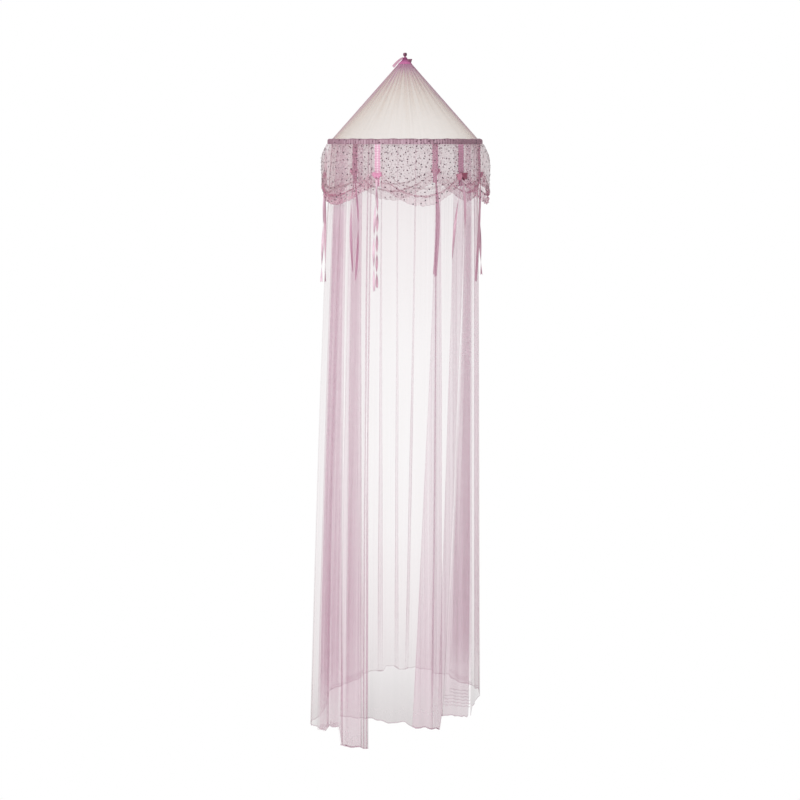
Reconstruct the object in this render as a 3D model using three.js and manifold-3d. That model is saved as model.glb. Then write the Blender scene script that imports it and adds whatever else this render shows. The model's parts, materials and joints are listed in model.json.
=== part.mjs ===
// Bed crown canopy: a sheer net tent that hangs from a ribbon loop over the head of a bed.
// A hoop in a sewn casing carries a pleated cone above it, a swagged valance outside it
// and four widths of net curtain below it.
// Millimetres, +Z up, front towards -Y, origin where the hook bears inside the hanging loop.

import * as THREE from 'three';
import { mergeVertices } from 'three/addons/utils/BufferGeometryUtils.js';
import Module from 'manifold-3d';

const wasm = await Module();
wasm.setup();

// Driving sizes
const hoopRadius = 300; // to the rod's centre line
const hoopDrop = 344; // hook down to the rod's centre
const curtainDrop = 2335; // rod's centre down to the level part of the hem
const netWall = 2.5; // a ply of net with its small folds, measured towards the crown's axis
const ribbonWidth = 10;
const ribbonWall = 1.2;
const seamGap = 0.3; // between pieces that are sewn, threaded or tied together

const fullTurn = 2 * Math.PI;
const quarterTurn = fullTurn / 4;

const colours = {
  net: 0xecd3df,
  casing: 0xb393a3,
  glitterNet: 0xdcc0cd,
  satin: 0xe08fb4,
  deepSatin: 0xb7588b,
  rod: 0xe6e0d4,
  sleeve: 0xf0eeea,
};

const finishes = {
  net: { color: colours.net, roughness: 0.8, metalness: 0 },
  casing: { color: colours.casing, roughness: 0.75, metalness: 0 },
  glitterNet: { color: colours.glitterNet, roughness: 0.6, metalness: 0 },
  satin: { color: colours.satin, roughness: 0.35, metalness: 0 },
  deepSatin: { color: colours.deepSatin, roughness: 0.35, metalness: 0 },
  rod: { color: colours.rod, roughness: 0.4, metalness: 0 },
  sleeve: { color: colours.sleeve, roughness: 0.5, metalness: 0 },
};

// Ways to place things round the crown. A turn is counted from the front, towards +X.
const between = (from, to, share) => from + (to - from) * share;
const evenShares = (steps) => Array.from({ length: steps + 1 }, (_, step) => step / steps);
const onCrown = (turn, radius, height) => (
  new THREE.Vector3(radius * Math.sin(turn), -radius * Math.cos(turn), height)
);

// Reads a share off a table of evenly spaced shares.
function shareAt(shares, place) {
  const reach = Math.min(Math.max(place, 0), 1) * (shares.length - 1);
  const step = Math.min(Math.floor(reach), shares.length - 2);
  return between(shares[step], shares[step + 1], reach - step);
}

// Ways to make closed solids
function signedVolume(geometry) {
  const { position } = geometry.attributes;
  const corner = (index) => new THREE.Vector3().fromBufferAttribute(position, geometry.index.getX(index));
  let volume = 0;
  for (let first = 0; first < geometry.index.count; first += 3) {
    volume += corner(first).dot(corner(first + 1).cross(corner(first + 2)));
  }
  return volume;
}

function facingOut(geometry) {
  geometry.deleteAttribute('normal');
  geometry.deleteAttribute('uv');
  const merged = mergeVertices(geometry);
  if (signedVolume(merged) < 0) {
    merged.setIndex(Array.from(merged.index.array).reverse());
  }
  merged.computeVertexNormals();
  return merged;
}

function fromFaces(points, faces) {
  const geometry = new THREE.BufferGeometry().setFromPoints(points);
  geometry.setIndex(faces);
  return facingOut(geometry);
}

// Closes the space between two grids of points, which run row by row.
// A ring joins its last column to its first; any other wall gets side edges.
function wallBetween(outer, inner, isRing) {
  const rows = outer.length;
  const columns = outer[0].length;
  const outerAt = (row, column) => row * columns + (column % columns);
  const innerAt = (row, column) => rows * columns + outerAt(row, column);
  const faces = [];
  const quad = (a, b, c, d) => faces.push(a, b, c, a, c, d);
  const strips = isRing ? columns : columns - 1;
  for (let column = 0; column < strips; column += 1) {
    const next = column + 1;
    for (let row = 0; row < rows - 1; row += 1) {
      quad(outerAt(row, column), outerAt(row, next), outerAt(row + 1, next), outerAt(row + 1, column));
      quad(innerAt(row, column), innerAt(row + 1, column), innerAt(row + 1, next), innerAt(row, next));
    }
    const last = rows - 1;
    quad(outerAt(0, column), innerAt(0, column), innerAt(0, next), outerAt(0, next));
    quad(outerAt(last, column), outerAt(last, next), innerAt(last, next), innerAt(last, column));
  }
  if (!isRing) {
    for (let row = 0; row < rows - 1; row += 1) {
      quad(outerAt(row, 0), outerAt(row + 1, 0), innerAt(row + 1, 0), innerAt(row, 0));
      quad(outerAt(row, strips), innerAt(row, strips), innerAt(row + 1, strips), outerAt(row + 1, strips));
    }
  }
  return fromFaces([...outer.flat(), ...inner.flat()], faces);
}

// A wall of cloth round the crown's axis. place(column, row) gives its outer face.
function clothWall(columns, rows, place, isRing = false) {
  const face = (inset) => rows.map((row) => columns.map((column) => {
    const { turn, radius, height } = place(column, row);
    return onCrown(turn, radius - inset, height);
  }));
  return wallBetween(face(0), face(netWall), isRing);
}

// A flat ribbon along a path. across(share) gives the direction of its width, width(share) its size.
function ribbonAlong(path, across, width, steps) {
  const shares = evenShares(steps);
  const centres = shares.map(path);
  const sections = shares.map((share, step) => {
    const ahead = centres[Math.min(step + 1, steps)];
    const behind = centres[Math.max(step - 1, 0)];
    const sideways = across(share).normalize();
    const through = ahead.clone().sub(behind).cross(sideways).normalize();
    const corner = (side, face) => centres[step].clone()
      .addScaledVector(sideways, side * width(share) / 2)
      .addScaledVector(through, face * ribbonWall / 2);
    return { front: [corner(-1, 1), corner(1, 1)], back: [corner(-1, -1), corner(1, -1)] };
  });
  return wallBetween(sections.map(({ front }) => front), sections.map(({ back }) => back), false);
}

function toSolid(geometry) {
  const closed = facingOut(geometry);
  return new wasm.Manifold(new wasm.Mesh({
    numProp: 3,
    vertProperties: closed.attributes.position.array,
    triVerts: new Uint32Array(closed.index.array),
  }));
}

function toGeometry(solid) {
  const { vertProperties, triVerts } = solid.getMesh();
  const geometry = new THREE.BufferGeometry();
  geometry.setAttribute('position', new THREE.BufferAttribute(vertProperties, 3));
  geometry.setIndex(new THREE.BufferAttribute(triVerts, 1));
  geometry.computeVertexNormals();
  return geometry;
}

const canopy = new THREE.Group();

function addPiece(name, geometry, finish, parent = canopy) {
  const piece = new THREE.Mesh(geometry, new THREE.MeshStandardMaterial(finish));
  piece.name = name;
  parent.add(piece);
  return piece;
}

// Hanging loop: a ribbon loop whose foot runs on into a twisted neck
const eyeWidth = 9;
const eyeHeight = 11;
const loopFootWidth = 8;
const loopFootHeight = 2.5;
const loopCentre = -eyeHeight / 2;
const loopFootDrop = eyeHeight + loopFootHeight;

function hangingLoop() {
  const halfWidth = eyeWidth / 2 + ribbonWall;
  const halfHeight = eyeHeight / 2 + ribbonWall;
  const spread = Math.asin(loopFootWidth / 2 / halfWidth);
  const outline = new THREE.Shape();
  outline.moveTo(-loopFootWidth / 2, -loopFootDrop);
  outline.lineTo(loopFootWidth / 2, -loopFootDrop);
  outline.absellipse(0, loopCentre, halfWidth, halfHeight, spread - quarterTurn, 3 * quarterTurn - spread);
  const eye = new THREE.Path();
  eye.absellipse(0, loopCentre, eyeWidth / 2, eyeHeight / 2, 0, fullTurn);
  outline.holes.push(eye);
  const ribbon = { depth: ribbonWidth, bevelEnabled: false, curveSegments: 8 };
  const geometry = new THREE.ExtrudeGeometry(outline, ribbon);
  geometry.translate(0, 0, -ribbonWidth / 2);
  geometry.rotateX(quarterTurn);
  return facingOut(geometry);
}

// Loop neck and loop knot: the ribbon twists at its neck and bends at the knot that holds it
// inside the gathered net, so the crown turns and sways both ways below the hook.
const neckRadius = 2.5;
const neckWaist = 0.4; // how much the twist draws the neck in
const knotRadius = 6;
const knotDrop = 27; // hook down to the knot's centre
const knotClearance = 0.4;

// Points on a sphere round the knot's centre, from one ring's radius to another's, going down.
function knotArc(radius, topRing, bottomRing, steps) {
  const start = Math.asin(topRing / radius);
  const end = Math.PI - Math.asin(bottomRing / radius);
  return evenShares(steps).map((share) => {
    const lean = between(start, end, share);
    return new THREE.Vector2(radius * Math.sin(lean), radius * Math.cos(lean) - knotDrop);
  });
}

function loopNeck() {
  const top = -loopFootDrop - seamGap;
  const bottom = -knotDrop + knotRadius + seamGap;
  const side = evenShares(4).map((share) => new THREE.Vector2(
    neckRadius - neckWaist * Math.sin(Math.PI * share),
    between(top, bottom, share),
  ));
  const profile = [new THREE.Vector2(0, top), ...side, new THREE.Vector2(0, bottom)];
  return facingOut(new THREE.LatheGeometry(profile, 12).rotateX(quarterTurn));
}

function loopKnot() {
  const profile = knotArc(knotRadius, 0, 0, 8);
  return facingOut(new THREE.LatheGeometry(profile, 16).rotateX(quarterTurn));
}

// Apex gather: the bound top of the cone, pleated outside, with a round seat for the knot
const gatherTop = -17;
const gatherBottom = -42;
const gatherTopRadius = 7;
const gatherBottomRadius = 26;
const gatherLip = 3.5; // width of the bound edge over the cone
const gatherPleat = 0.7;
const gatherPleats = 9;
const gatherBulgeShares = [0, 0.13, 0.36, 0.64, 0.85, 1];
const mouthRadius = 5.2; // lets the neck lean ten degrees each way, and both ways at once

const gatherRadiusAt = (share) => (
  between(gatherTopRadius, gatherBottomRadius, shareAt(gatherBulgeShares, share))
);

function apexGather() {
  const columns = evenShares(2 * gatherPleats).slice(1);
  const rows = evenShares(gatherBulgeShares.length - 1);
  const outer = rows.map((share) => columns.map((turnShare, column) => {
    const pleat = (column % 2 ? gatherPleat : -gatherPleat) * Math.sqrt(share);
    const height = between(gatherTop, gatherBottom, share);
    return onCrown(turnShare * fullTurn, gatherRadiusAt(share) + pleat, height);
  }));
  const seat = knotArc(knotRadius + knotClearance, mouthRadius, mouthRadius, 3);
  const boreProfile = [
    new THREE.Vector2(mouthRadius, gatherTop),
    ...seat,
    new THREE.Vector2(gatherBottomRadius - gatherLip, gatherBottom),
  ];
  const inner = boreProfile.map(({ x, y }) => (
    columns.map((turnShare) => onCrown(turnShare * fullTurn, x, y))
  ));
  return wallBetween(outer, inner, true);
}

// Bows: two drooping ribbon loops held by a knot, in a frame with its front towards -Y
const bowLoopLength = 21;
const bowLoopDepth = 9;
const bowLoopHeight = 15;
const bowDroop = fullTurn / 16;
const bowPinchShare = 0.45; // height left where the loop enters the knot
const bowKnotRadius = 5;
const bowKnotHeightShare = 1.35;
const bowLoopForward = 2.5; // the loops stand this far in front of the knot's middle

function bowLoop(side) {
  const middle = side * bowLoopLength / 2;
  const loop = new THREE.Shape();
  const [length, depth] = [bowLoopLength / 2, bowLoopDepth / 2];
  loop.absellipse(middle, -bowLoopForward, length, depth, 0, fullTurn);
  const inside = new THREE.Path();
  inside.absellipse(middle, -bowLoopForward, length - ribbonWall, depth - ribbonWall, 0, fullTurn);
  loop.holes.push(inside);
  const ribbon = { depth: bowLoopHeight, bevelEnabled: false, curveSegments: 5 };
  const geometry = new THREE.ExtrudeGeometry(loop, ribbon);
  geometry.translate(0, 0, -bowLoopHeight / 2);
  const { position } = geometry.attributes;
  for (let index = 0; index < position.count; index += 1) {
    const reach = Math.abs(position.getX(index)) / bowLoopLength;
    position.setZ(index, position.getZ(index) * between(bowPinchShare, 1, reach));
  }
  return geometry.rotateY(side * bowDroop);
}

function bow() {
  const knot = new THREE.SphereGeometry(bowKnotRadius, 8, 6).scale(1, 1, bowKnotHeightShare);
  return toGeometry(toSolid(knot).add(toSolid(bowLoop(1))).add(toSolid(bowLoop(-1))));
}

// Apex bow and tail: what is left of the ribbon that binds the gather, to either side
const apexBowShare = 0.36; // down the gather
const apexBowStandOff = 2.8;
const apexTailReach = 32;
const apexTailDrop = 27;
const apexTailSpring = 5; // how far the tail stands off the straight line
const apexTailStandOff = 1.4;
const apexBowSizeShare = 0.62; // of a loop of the valance bows

function apexBow() {
  const radius = gatherRadiusAt(apexBowShare) + apexBowStandOff;
  const height = between(gatherTop, gatherBottom, apexBowShare);
  const geometry = bowLoop(1).scale(apexBowSizeShare, apexBowSizeShare, apexBowSizeShare);
  return facingOut(geometry.translate(radius, 0, height));
}

function apexTail() {
  const startX = -gatherRadiusAt(apexBowShare) - gatherPleat - apexTailStandOff;
  const startZ = between(gatherTop, gatherBottom, apexBowShare);
  const path = (share) => new THREE.Vector3(
    startX - apexTailReach * share,
    0,
    startZ - apexTailDrop * share + apexTailSpring * Math.sin(Math.PI * share),
  );
  return ribbonAlong(path, () => new THREE.Vector3(0, 1, 0), () => ribbonWidth, 5);
}

// Hoop: two bent rods whose ends slide into two sleeves, at the front and at the back
const rodRadius = 4;
const rodClearance = 0.6; // round a bent rod in its sleeve's bore
const sleeveWall = 1.5;
const sleeveLength = 50;
const rodEndGap = 2; // between the two rod ends inside a sleeve
const sleeveBore = rodRadius + rodClearance;
const sleeveRadius = sleeveBore + sleeveWall;

class CrownArc extends THREE.Curve {
  constructor(fromTurn, toTurn) {
    super();
    this.fromTurn = fromTurn;
    this.toTurn = toTurn;
  }

  getPoint(share, target = new THREE.Vector3()) {
    return target.copy(onCrown(between(this.fromTurn, this.toTurn, share), hoopRadius, -hoopDrop));
  }
}

function alongHoop(section, fromTurn, toTurn, steps) {
  const sweep = { steps, curveSegments: 4, extrudePath: new CrownArc(fromTurn, toTurn) };
  return facingOut(new THREE.ExtrudeGeometry(section, sweep));
}

function hoopRod(startTurn) {
  const section = new THREE.Shape().absarc(0, 0, rodRadius, 0, fullTurn);
  const endTurn = rodEndGap / 2 / hoopRadius;
  return alongHoop(section, startTurn + endTurn, startTurn + fullTurn / 2 - endTurn, 30);
}

function hoopSleeve(middleTurn) {
  const section = new THREE.Shape().absarc(0, 0, sleeveRadius, 0, fullTurn);
  section.holes.push(new THREE.Path().absarc(0, 0, sleeveBore, 0, fullTurn));
  const halfTurn = sleeveLength / 2 / hoopRadius;
  return alongHoop(section, middleTurn - halfTurn, middleTurn + halfTurn, 3);
}

// Casing: a band of net folded over the hoop, open below between its two walls
const casingWidth = 20;
const casingHeight = 21;
const casingShoulder = 5; // radius of its two top folds
const casingTop = -hoopDrop + sleeveRadius + seamGap + netWall;
const casingBottom = casingTop - casingHeight;
const casingOuter = hoopRadius + casingWidth / 2;
const casingInner = hoopRadius - casingWidth / 2;

// Half of the inverted U, from the middle of its top down one side.
function casingSide(side, inset) {
  const halfWidth = casingWidth / 2 - inset;
  const shoulder = casingShoulder - inset;
  const arc = evenShares(2).map((share) => new THREE.Vector2(
    hoopRadius + side * (halfWidth - shoulder + shoulder * Math.sin(share * quarterTurn)),
    casingTop - inset - shoulder + shoulder * Math.cos(share * quarterTurn),
  ));
  return [...arc, new THREE.Vector2(hoopRadius + side * halfWidth, casingBottom)];
}

function hoopCasing() {
  const outside = [...casingSide(-1, 0).reverse(), ...casingSide(1, 0)];
  const inside = [...casingSide(-1, netWall).reverse(), ...casingSide(1, netWall)];
  const profile = [...outside, ...inside.reverse()];
  return facingOut(new THREE.LatheGeometry([...profile, profile[0]], 48).rotateX(quarterTurn));
}

// Cone: net drawn up from the casing to the gather, its pleats fading towards the hoop
const coneTopRadius = 27;
const coneFootSet = 1; // how far inside the hoop's line the net meets the casing
const coneFootRadius = hoopRadius - coneFootSet;
const conePleats = 22;
const conePleatDepth = 3.5;
const conePleatShares = [0.3, 0.75, 1, 0.45, 0];

function coneNet() {
  const columns = evenShares(2 * conePleats).slice(1);
  const place = (turnShare, share) => {
    const crest = Math.round(turnShare * 2 * conePleats) % 2 ? 1 : -1;
    const pleat = crest * conePleatDepth * shareAt(conePleatShares, share);
    return {
      turn: turnShare * fullTurn,
      radius: between(coneTopRadius, coneFootRadius, share) + pleat,
      height: between(gatherBottom - seamGap, casingTop + seamGap, share),
    };
  };
  return clothWall(columns, evenShares(conePleatShares.length - 1), place, true);
}

// Valance: ruched straps draw the glitter net up, and a swag billows from each to the next
const strapTurnShares = [-0.0545, 0.1195, 0.2955, 0.434, 0.614, 0.7555]; // of a full turn
const strapWidth = 25;
const strapRuffle = 1; // how far each ruche stands out or in
const strapRuches = 6;
const gatherDrop = 174; // rod's centre down to the swags' lower edge at a strap
const scallopDrop = 247; // the same, at the middle of a swag
const strapRadius = casingOuter + seamGap + netWall + strapRuffle;
const strapTurns = strapTurnShares.map((share) => share * fullTurn);
const valanceTop = casingBottom - seamGap;

function gatherStrap(turn) {
  const halfTurn = strapWidth / 2 / strapRadius;
  const columns = evenShares(2).map((share) => between(-halfTurn, halfTurn, share));
  const rows = evenShares(2 * strapRuches);
  const place = (offset, share) => {
    const ruche = Math.round(share * 2 * strapRuches) % 2 ? strapRuffle : -strapRuffle;
    return {
      turn: turn + offset,
      radius: strapRadius + ruche,
      height: between(valanceTop, -hoopDrop - gatherDrop, share),
    };
  };
  return clothWall(columns, rows, place);
}

const swagBillow = 33; // how far a swag stands out past its straps
const swagRowShares = [0, 0.1, 0.26, 0.45, 0.64, 0.79, 0.9, 1];
const swagBillowShares = [0.02, 0.42, 0.88, 1, 0.8, 0.9, 0.64, 0.7]; // with the draped folds below
const swagColumns = 12;
const swagFullness = 0.9; // power that rounds the billow across a swag
const scallopRoundness = 1.25;

function valanceSwag(fromTurn, toTurn) {
  const edgeTurn = (strapWidth / 2 + seamGap) / (strapRadius - strapRuffle - netWall);
  const rows = evenShares(swagRowShares.length - 1);
  const place = (share, row) => {
    const swell = Math.sin(Math.PI * share);
    const rim = Math.max(swell, 0);
    const drop = between(gatherDrop, scallopDrop, rim ** scallopRoundness);
    const billow = swagBillow * rim ** swagFullness * shareAt(swagBillowShares, row);
    return {
      turn: between(fromTurn + edgeTurn, toTurn - edgeTurn, share),
      radius: strapRadius + billow,
      height: between(valanceTop, -hoopDrop - drop, shareAt(swagRowShares, row)),
    };
  };
  return clothWall(evenShares(swagColumns), rows, place);
}

// Ribbon tails: two under each bow, which swing out from it
const bowDrop = 136; // rod's centre down to the bow's middle
const bowRadius = strapRadius + strapRuffle + seamGap + bowKnotRadius;
const tailLength = 430;
const tailStandOff = 20; // how far the foot of a tail hangs outside its top
const tailStandOffPower = 0.8;
const tailClearance = 0.9; // between the two tails of a bow
const tailSpacing = ribbonWidth + tailClearance;
const tailPinchShare = 0.48; // width of a tail where it leaves the knot
const tailGap = 0.6; // room to swing under the bow's knot
const tailSteps = 8;
// Left and right tail of each bow: length, sideways lean, sideways sway and twist
const tailLengthShares = [
  [1, 0.97], [0.71, 0.53], [1, 0.93],
  [0.99, 0.97], [1.02, 0.93], [0.97, 0.96],
];
const tailLeanShares = [
  [-0.01, 0.02], [-0.12, 0.03], [-0.03, 0.02],
  [-0.02, 0.01], [-0.03, -0.02], [-0.01, 0.03],
];
const tailSwayShares = [
  [-0.01, 0.01], [-0.01, 0.02], [-0.02, 0.03],
  [-0.01, 0.01], [-0.04, 0.02], [-0.04, 0.01],
];
const tailTwistShares = [
  [0.12, -0.1], [0.06, -0.05], [-0.08, 0.1],
  [0.05, -0.05], [-0.1, 0.08], [0.12, -0.06],
];

function ribbonTail(pair, side) {
  const length = tailLength * tailLengthShares[pair][side];
  const lean = tailLength * tailLeanShares[pair][side];
  const sway = tailLength * tailSwayShares[pair][side];
  const twist = fullTurn * tailTwistShares[pair][side];
  const spread = (share) => between(tailPinchShare, 1, Math.min(share * tailSteps, 1));
  const path = (share) => new THREE.Vector3(
    (side ? 1 : -1) * spread(share) * tailSpacing / 2 + lean * share + sway * Math.sin(Math.PI * share),
    -tailStandOff * share ** tailStandOffPower,
    -length * share,
  );
  const across = (share) => new THREE.Vector3(Math.cos(twist * share), Math.sin(twist * share), 0);
  return ribbonAlong(path, across, (share) => ribbonWidth * spread(share), tailSteps);
}

// Curtain: one run of folds goes right round, and each of four equal widths takes its share.
// Two widths lap over each other at the front left, where the curtain parts.
const foldCount = 40;
const lapFolds = 2;
const widthCount = 4;
const columnsPerFold = 4;
const leadingShare = -0.05; // of a full turn, where the outer front edge hangs
const bunchShare = 0.029; // folds crowd together at the sides by this share of a turn
const foldDepthAtHoop = 3;
const foldDepthAtHem = 20;
const foldSpreadPower = 0.6; // folds deepen quickly below the hoop
const unevenShare = 0.2; // one fold's depth differs from the next by up to this
const unevenRuns = 9; // times that difference comes and goes round the crown
const hemFlare = 60; // how far the hem hangs outside the hoop
const sideFlare = 35; // more of it on the left, less on the right
const lapInset = 6;
const lapFullDrop = 150; // the lap stands apart fully this far below the casing
const foldsPerWidth = (foldCount + lapFolds) / widthCount;
const leadingFold = Math.round(leadingShare * foldCount * columnsPerFold) / columnsPerFold;
const curtainTopRadius = casingInner + netWall / 2;
const curtainRowShares = [0, 0.09, 0.26, 0.52, 0.79, 1];

function foldTurn(fold) {
  const share = fold / foldCount;
  return fullTurn * (share + bunchShare * Math.sin(2 * fullTurn * share));
}

function curtainRadius(fold, drop) {
  const share = Math.max(drop / curtainDrop, 0);
  const flare = hemFlare - sideFlare * Math.sin(foldTurn(fold));
  const depth = between(foldDepthAtHoop, foldDepthAtHem, share ** foldSpreadPower);
  const uneven = 1 + unevenShare * Math.sin(fullTurn * unevenRuns * fold / foldCount);
  return curtainTopRadius + flare * share + depth * uneven * Math.cos(fullTurn * fold);
}

// The hem is nearly level, and the outer front width hangs lower, most at its corner.
const hemWave = 9;
const hemWaves = 7;
const cornerDrop = 70;
const cornerFolds = 1.5;
const notchFolds = 2;
const notchShare = 0.1;
const besideCornerShare = 0.75;

function hemDrop(width, fold) {
  const wave = hemWave * Math.sin(fullTurn * hemWaves * fold / foldCount);
  const foldsIn = leadingFold - fold;
  if (width > 0) {
    return curtainDrop + wave;
  }
  if (foldsIn <= cornerFolds) {
    return curtainDrop + cornerDrop;
  }
  if (foldsIn <= notchFolds) {
    return curtainDrop + cornerDrop * notchShare;
  }
  const fade = 1 - (foldsIn - notchFolds) / (foldsPerWidth - notchFolds);
  return curtainDrop + cornerDrop * besideCornerShare * fade + wave;
}

// The inner front width passes behind the outer one, and comes forward past its edge.
function lapShare(width, fold) {
  const foldsClear = fold - (leadingFold - foldCount);
  return width === widthCount - 1 ? THREE.MathUtils.clamp(1 - foldsClear, 0, 1) : 0;
}

function curtainWidth(width) {
  const firstFold = leadingFold - width * foldsPerWidth;
  const columns = evenShares(foldsPerWidth * columnsPerFold);
  const sideTurn = seamGap / 2 / curtainTopRadius;
  const place = (share, row) => {
    const fold = firstFold - foldsPerWidth * share;
    const trim = (share === 0 ? -sideTurn : 0) + (share === 1 ? sideTurn : 0);
    const top = -hoopDrop - valanceTop;
    const drop = between(top, hemDrop(width, fold), shareAt(curtainRowShares, row));
    const apart = netWall + seamGap + lapInset * Math.min((drop - top) / lapFullDrop, 1);
    return {
      turn: foldTurn(fold) + trim,
      radius: curtainRadius(fold, drop) - apart * lapShare(width, fold),
      height: -hoopDrop - drop,
    };
  };
  return clothWall(columns, evenShares(curtainRowShares.length - 1), place);
}

// Assembly
addPiece('hanging_loop', hangingLoop(), finishes.deepSatin);
addPiece('loop_neck', loopNeck(), finishes.deepSatin);
addPiece('loop_knot', loopKnot(), finishes.deepSatin);
addPiece('apex_gather', apexGather(), finishes.deepSatin);
addPiece('apex_bow', apexBow(), finishes.deepSatin);
addPiece('apex_tail', apexTail(), finishes.satin);
addPiece('cone_net', coneNet(), finishes.net);
addPiece('hoop_rod_right', hoopRod(0), finishes.rod);
addPiece('hoop_rod_left', hoopRod(fullTurn / 2), finishes.rod);
addPiece('hoop_sleeve_front', hoopSleeve(0), finishes.sleeve);
addPiece('hoop_sleeve_back', hoopSleeve(fullTurn / 2), finishes.sleeve);
addPiece('hoop_casing', hoopCasing(), finishes.casing);

strapTurns.forEach((turn, index) => {
  const number = index + 1;
  const nextTurn = number < strapTurns.length ? strapTurns[number] : strapTurns[0] + fullTurn;
  addPiece(`gather_strap_${number}`, gatherStrap(turn), finishes.satin);
  addPiece(`valance_swag_${number}`, valanceSwag(turn, nextTurn), finishes.glitterNet);

  const trimmings = new THREE.Group();
  trimmings.position.copy(onCrown(turn, bowRadius, -hoopDrop - bowDrop));
  trimmings.rotation.z = turn;
  canopy.add(trimmings);
  addPiece(`bow_${number}`, bow(), finishes.satin, trimmings);
  ['left', 'right'].forEach((side, sideIndex) => {
    const name = `ribbon_tail_${side}_${number}`;
    const tail = addPiece(name, ribbonTail(index, sideIndex), finishes.satin, trimmings);
    tail.position.z = -bowKnotRadius * bowKnotHeightShare - tailGap;
  });
});

['front_left', 'back_left', 'back_right', 'front_right'].forEach((place, width) => {
  addPiece(`curtain_${place}`, curtainWidth(width), finishes.net);
});

export default canopy;
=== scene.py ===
# Bed crown canopy: a sheer net tent on a hoop, with a glittering valance drawn up by ribbons.
# Metres, +Z up, front towards -Y, origin at the hook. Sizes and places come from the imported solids.

import json
import math
import random

import bmesh
import bpy
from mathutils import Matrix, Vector, noise


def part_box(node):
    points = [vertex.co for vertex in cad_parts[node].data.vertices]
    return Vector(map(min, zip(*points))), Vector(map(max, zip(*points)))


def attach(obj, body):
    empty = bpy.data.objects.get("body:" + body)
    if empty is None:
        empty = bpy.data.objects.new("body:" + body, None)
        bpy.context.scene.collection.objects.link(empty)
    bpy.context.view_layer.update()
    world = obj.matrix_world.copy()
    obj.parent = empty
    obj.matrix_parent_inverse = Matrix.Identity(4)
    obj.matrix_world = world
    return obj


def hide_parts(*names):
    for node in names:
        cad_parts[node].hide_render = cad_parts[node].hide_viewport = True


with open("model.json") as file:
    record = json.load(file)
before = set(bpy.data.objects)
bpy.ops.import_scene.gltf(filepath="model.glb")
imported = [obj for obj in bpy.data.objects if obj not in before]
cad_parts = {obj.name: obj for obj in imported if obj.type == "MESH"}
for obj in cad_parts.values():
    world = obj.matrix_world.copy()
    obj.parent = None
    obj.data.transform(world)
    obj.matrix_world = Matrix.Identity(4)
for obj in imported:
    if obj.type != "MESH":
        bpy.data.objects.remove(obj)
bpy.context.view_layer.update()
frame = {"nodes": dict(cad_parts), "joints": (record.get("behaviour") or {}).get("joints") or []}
mm = 0.001
fullTurn = 2 * math.pi
plainCloth = (1.0, 0.0, 0.0)  # one ply, no painted shade veil, no deeper tone
print("stage: the frame is loaded")

# Camera, level with the hoop and looking down the curtain
camera = {
    "place": (-0.020, -6.4, -0.351),
    "lookDown": 9.25,  # degrees below the horizon
    "lens": 71.06,
    "sensor": 36,
}


def makeCamera():
    data = bpy.data.cameras.new("camera")
    data.lens = camera["lens"]
    data.sensor_width = camera["sensor"]
    view = bpy.data.objects.new("camera", data)
    view.location = camera["place"]
    view.rotation_euler = (math.radians(90 - camera["lookDown"]), 0, 0)
    bpy.context.scene.collection.objects.link(view)
    bpy.context.scene.camera = view


makeCamera()
print("stage: the camera stands")

# Sizes read off the solids
rodLow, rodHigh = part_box("hoop_rod_right")
casingLow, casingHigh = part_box("hoop_casing")
gatherLow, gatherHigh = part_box("apex_gather")
coneLow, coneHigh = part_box("cone_net")
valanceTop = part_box("gather_strap_1")[1].z
joints = {joint["name"]: joint for joint in frame["joints"]}
hoopHeight = (rodLow.z + rodHigh.z) / 2
hoopRadius = rodHigh.x - (rodHigh.z - rodLow.z) / 2
knotPlaces = [Vector(joints[f"ribbon_swing_{k}"]["pos_m"]) for k in range(1, 7)]
strapTurns = [math.atan2(place.x, -place.y) % fullTurn for place in knotPlaces]
strapTurns[0] -= fullTurn
knotRadius = math.hypot(knotPlaces[0].x, knotPlaces[0].y)


# Small helpers
def between(start, end, share):
    return start + (end - start) * share


def clamp(value, low=0.0, high=1.0):
    return min(max(value, low), high)


def easeBetween(start, end, value):
    share = clamp((value - start) / (end - start))
    return share * share * (3 - 2 * share)


def readTable(stops, values, place):
    if place <= stops[0]:
        return values[0]
    for index in range(1, len(stops)):
        if place <= stops[index]:
            share = (place - stops[index - 1]) / (stops[index] - stops[index - 1])
            return between(values[index - 1], values[index], share)
    return values[-1]


def smoothTable(values, share):
    # Catmull-Rom through evenly spaced values
    reach = clamp(share) * (len(values) - 1)
    step = min(int(reach), len(values) - 2)
    t = reach - step
    a, b, c, d = (values[clamp(step + k, 0, len(values) - 1)] for k in (-1, 0, 1, 2))
    bend = 2 * a - 5 * b + 4 * c - d
    return 0.5 * (2 * b + (c - a) * t + bend * t * t + (3 * b - a - 3 * c + d) * t ** 3)


def onCrown(turn, radius, height):
    return Vector((radius * math.sin(turn), -radius * math.cos(turn), height))


def waver(place, seed=0.0):
    # a smooth wander between -1 and 1 that never repeats
    return (math.sin(1.7 * place + seed) + math.sin(2.9 * place + 2.3 * seed + 1)
            + math.sin(0.73 * place + 3.1 * seed + 4)) / 3


# Sheets: a grid is bent into place, with its own cloth map in metres. place(u, v) gives a spot, how many
# plies lie there, how thick a grey veil of painted shade lies, and how deep the tone is, as plainCloth does.
def addGrid(bm, columns, rows, place, flat):
    clothMap = bm.loops.layers.uv.verify()
    floats = bm.verts.layers.float
    layers = [floats.get(key) or floats.new(key) for key in ("plies", "veil", "tone")]
    made = bmesh.ops.create_grid(bm, x_segments=columns, y_segments=rows, size=0.5, calc_uvs=True)["verts"]
    for face in {face for vert in made for face in vert.link_faces}:
        for loop in face.loops:
            across, down = loop.vert.co.x + 0.5, 0.5 - loop.vert.co.y
            loop[clothMap].uv = (across * flat[0], -down * flat[1])
    for vert in made:
        spot, *cloth = place(vert.co.x + 0.5, 0.5 - vert.co.y)
        for layer, amount in zip(layers, cloth):
            vert[layer] = amount
        vert.co = spot


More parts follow.
